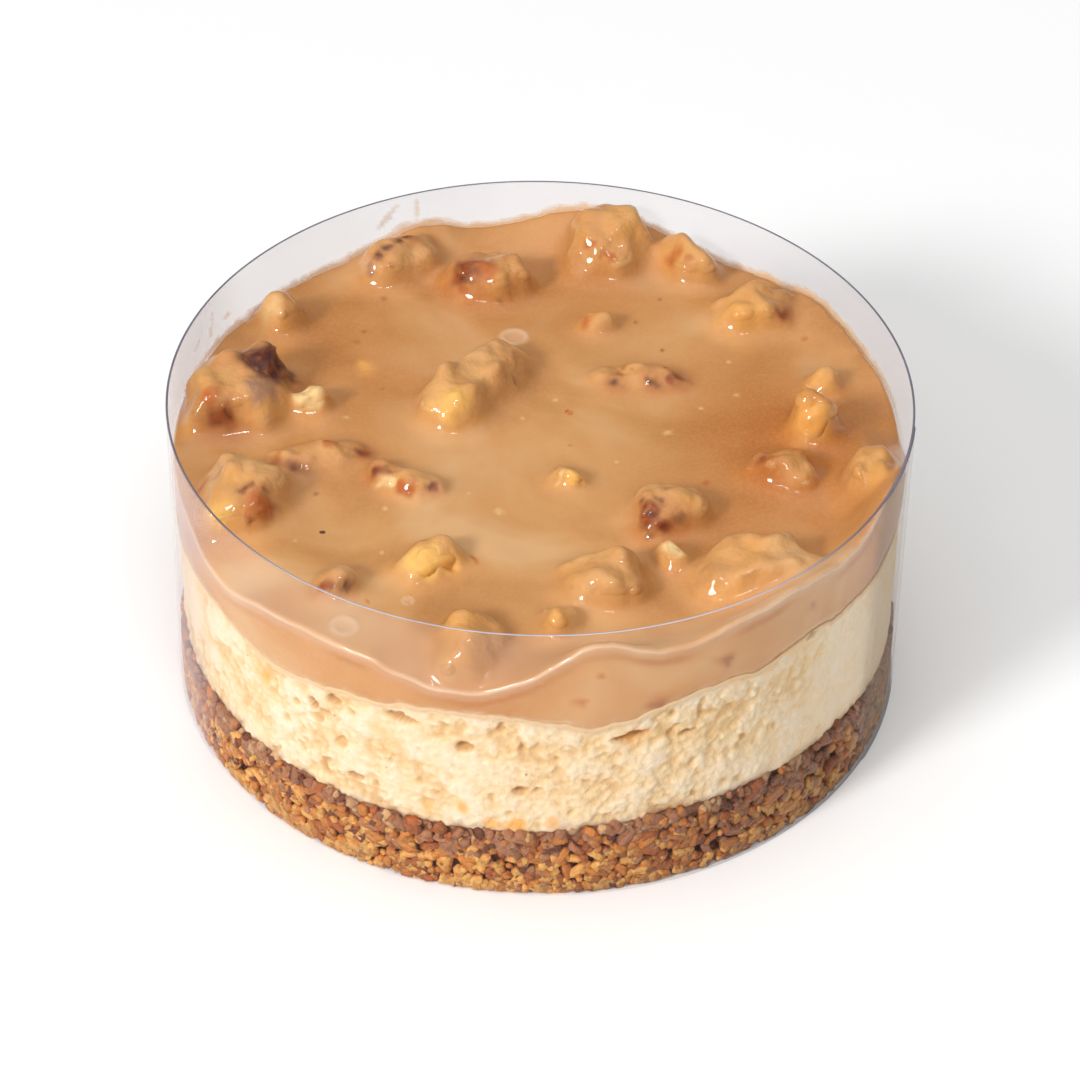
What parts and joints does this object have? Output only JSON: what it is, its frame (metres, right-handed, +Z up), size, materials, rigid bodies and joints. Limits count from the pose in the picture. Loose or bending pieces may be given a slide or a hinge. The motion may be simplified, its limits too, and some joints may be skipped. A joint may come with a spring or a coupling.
{
  "type": "baked cheesecake",
  "caption": "Small round baked cheesecake with a pressed crumb base, a caramel topping set with walnut pieces, and a clear film collar round its side.",
  "frame": {"origin": "on the surface the cake stands on, under the middle of its base", "axes": "+Z up through the layers, -Y towards the viewer, +X to the viewer's right"},
  "size_m": [0.1, 0.1, 0.045],
  "materials": {
    "film": "clear stiff film, smooth and glossy",
    "crumb": "pressed biscuit crumbs, moist, golden to dark brown",
    "cheese": "baked cream cheese, matt, grainy and pitted",
    "caramel": "set milk caramel, glossy",
    "walnut": "walnut kernel, golden to red-brown, glazed with caramel"
  },
  "bodies": {
    "root": {"crumb_base": "crumb", "cheese_layer": "cheese", "caramel_topping": "caramel", "film_collar": "film", "walnut_01": "walnut", "walnut_02": "walnut", "walnut_03": "walnut", "walnut_04": "walnut", "walnut_05": "walnut", "walnut_06": "walnut", "walnut_07": "walnut", "walnut_08": "walnut", "walnut_09": "walnut", "walnut_10": "walnut", "walnut_11": "walnut", "walnut_12": "walnut", "walnut_13": "walnut", "walnut_14": "walnut", "walnut_15": "walnut", "walnut_16": "walnut", "walnut_17": "walnut", "walnut_18": "walnut", "walnut_19": "walnut", "walnut_20": "walnut", "walnut_21": "walnut", "walnut_22": "walnut", "walnut_23": "walnut", "walnut_24": "walnut", "walnut_25": "walnut", "walnut_26": "walnut", "walnut_27": "walnut"}
  },
  "joints": []
}
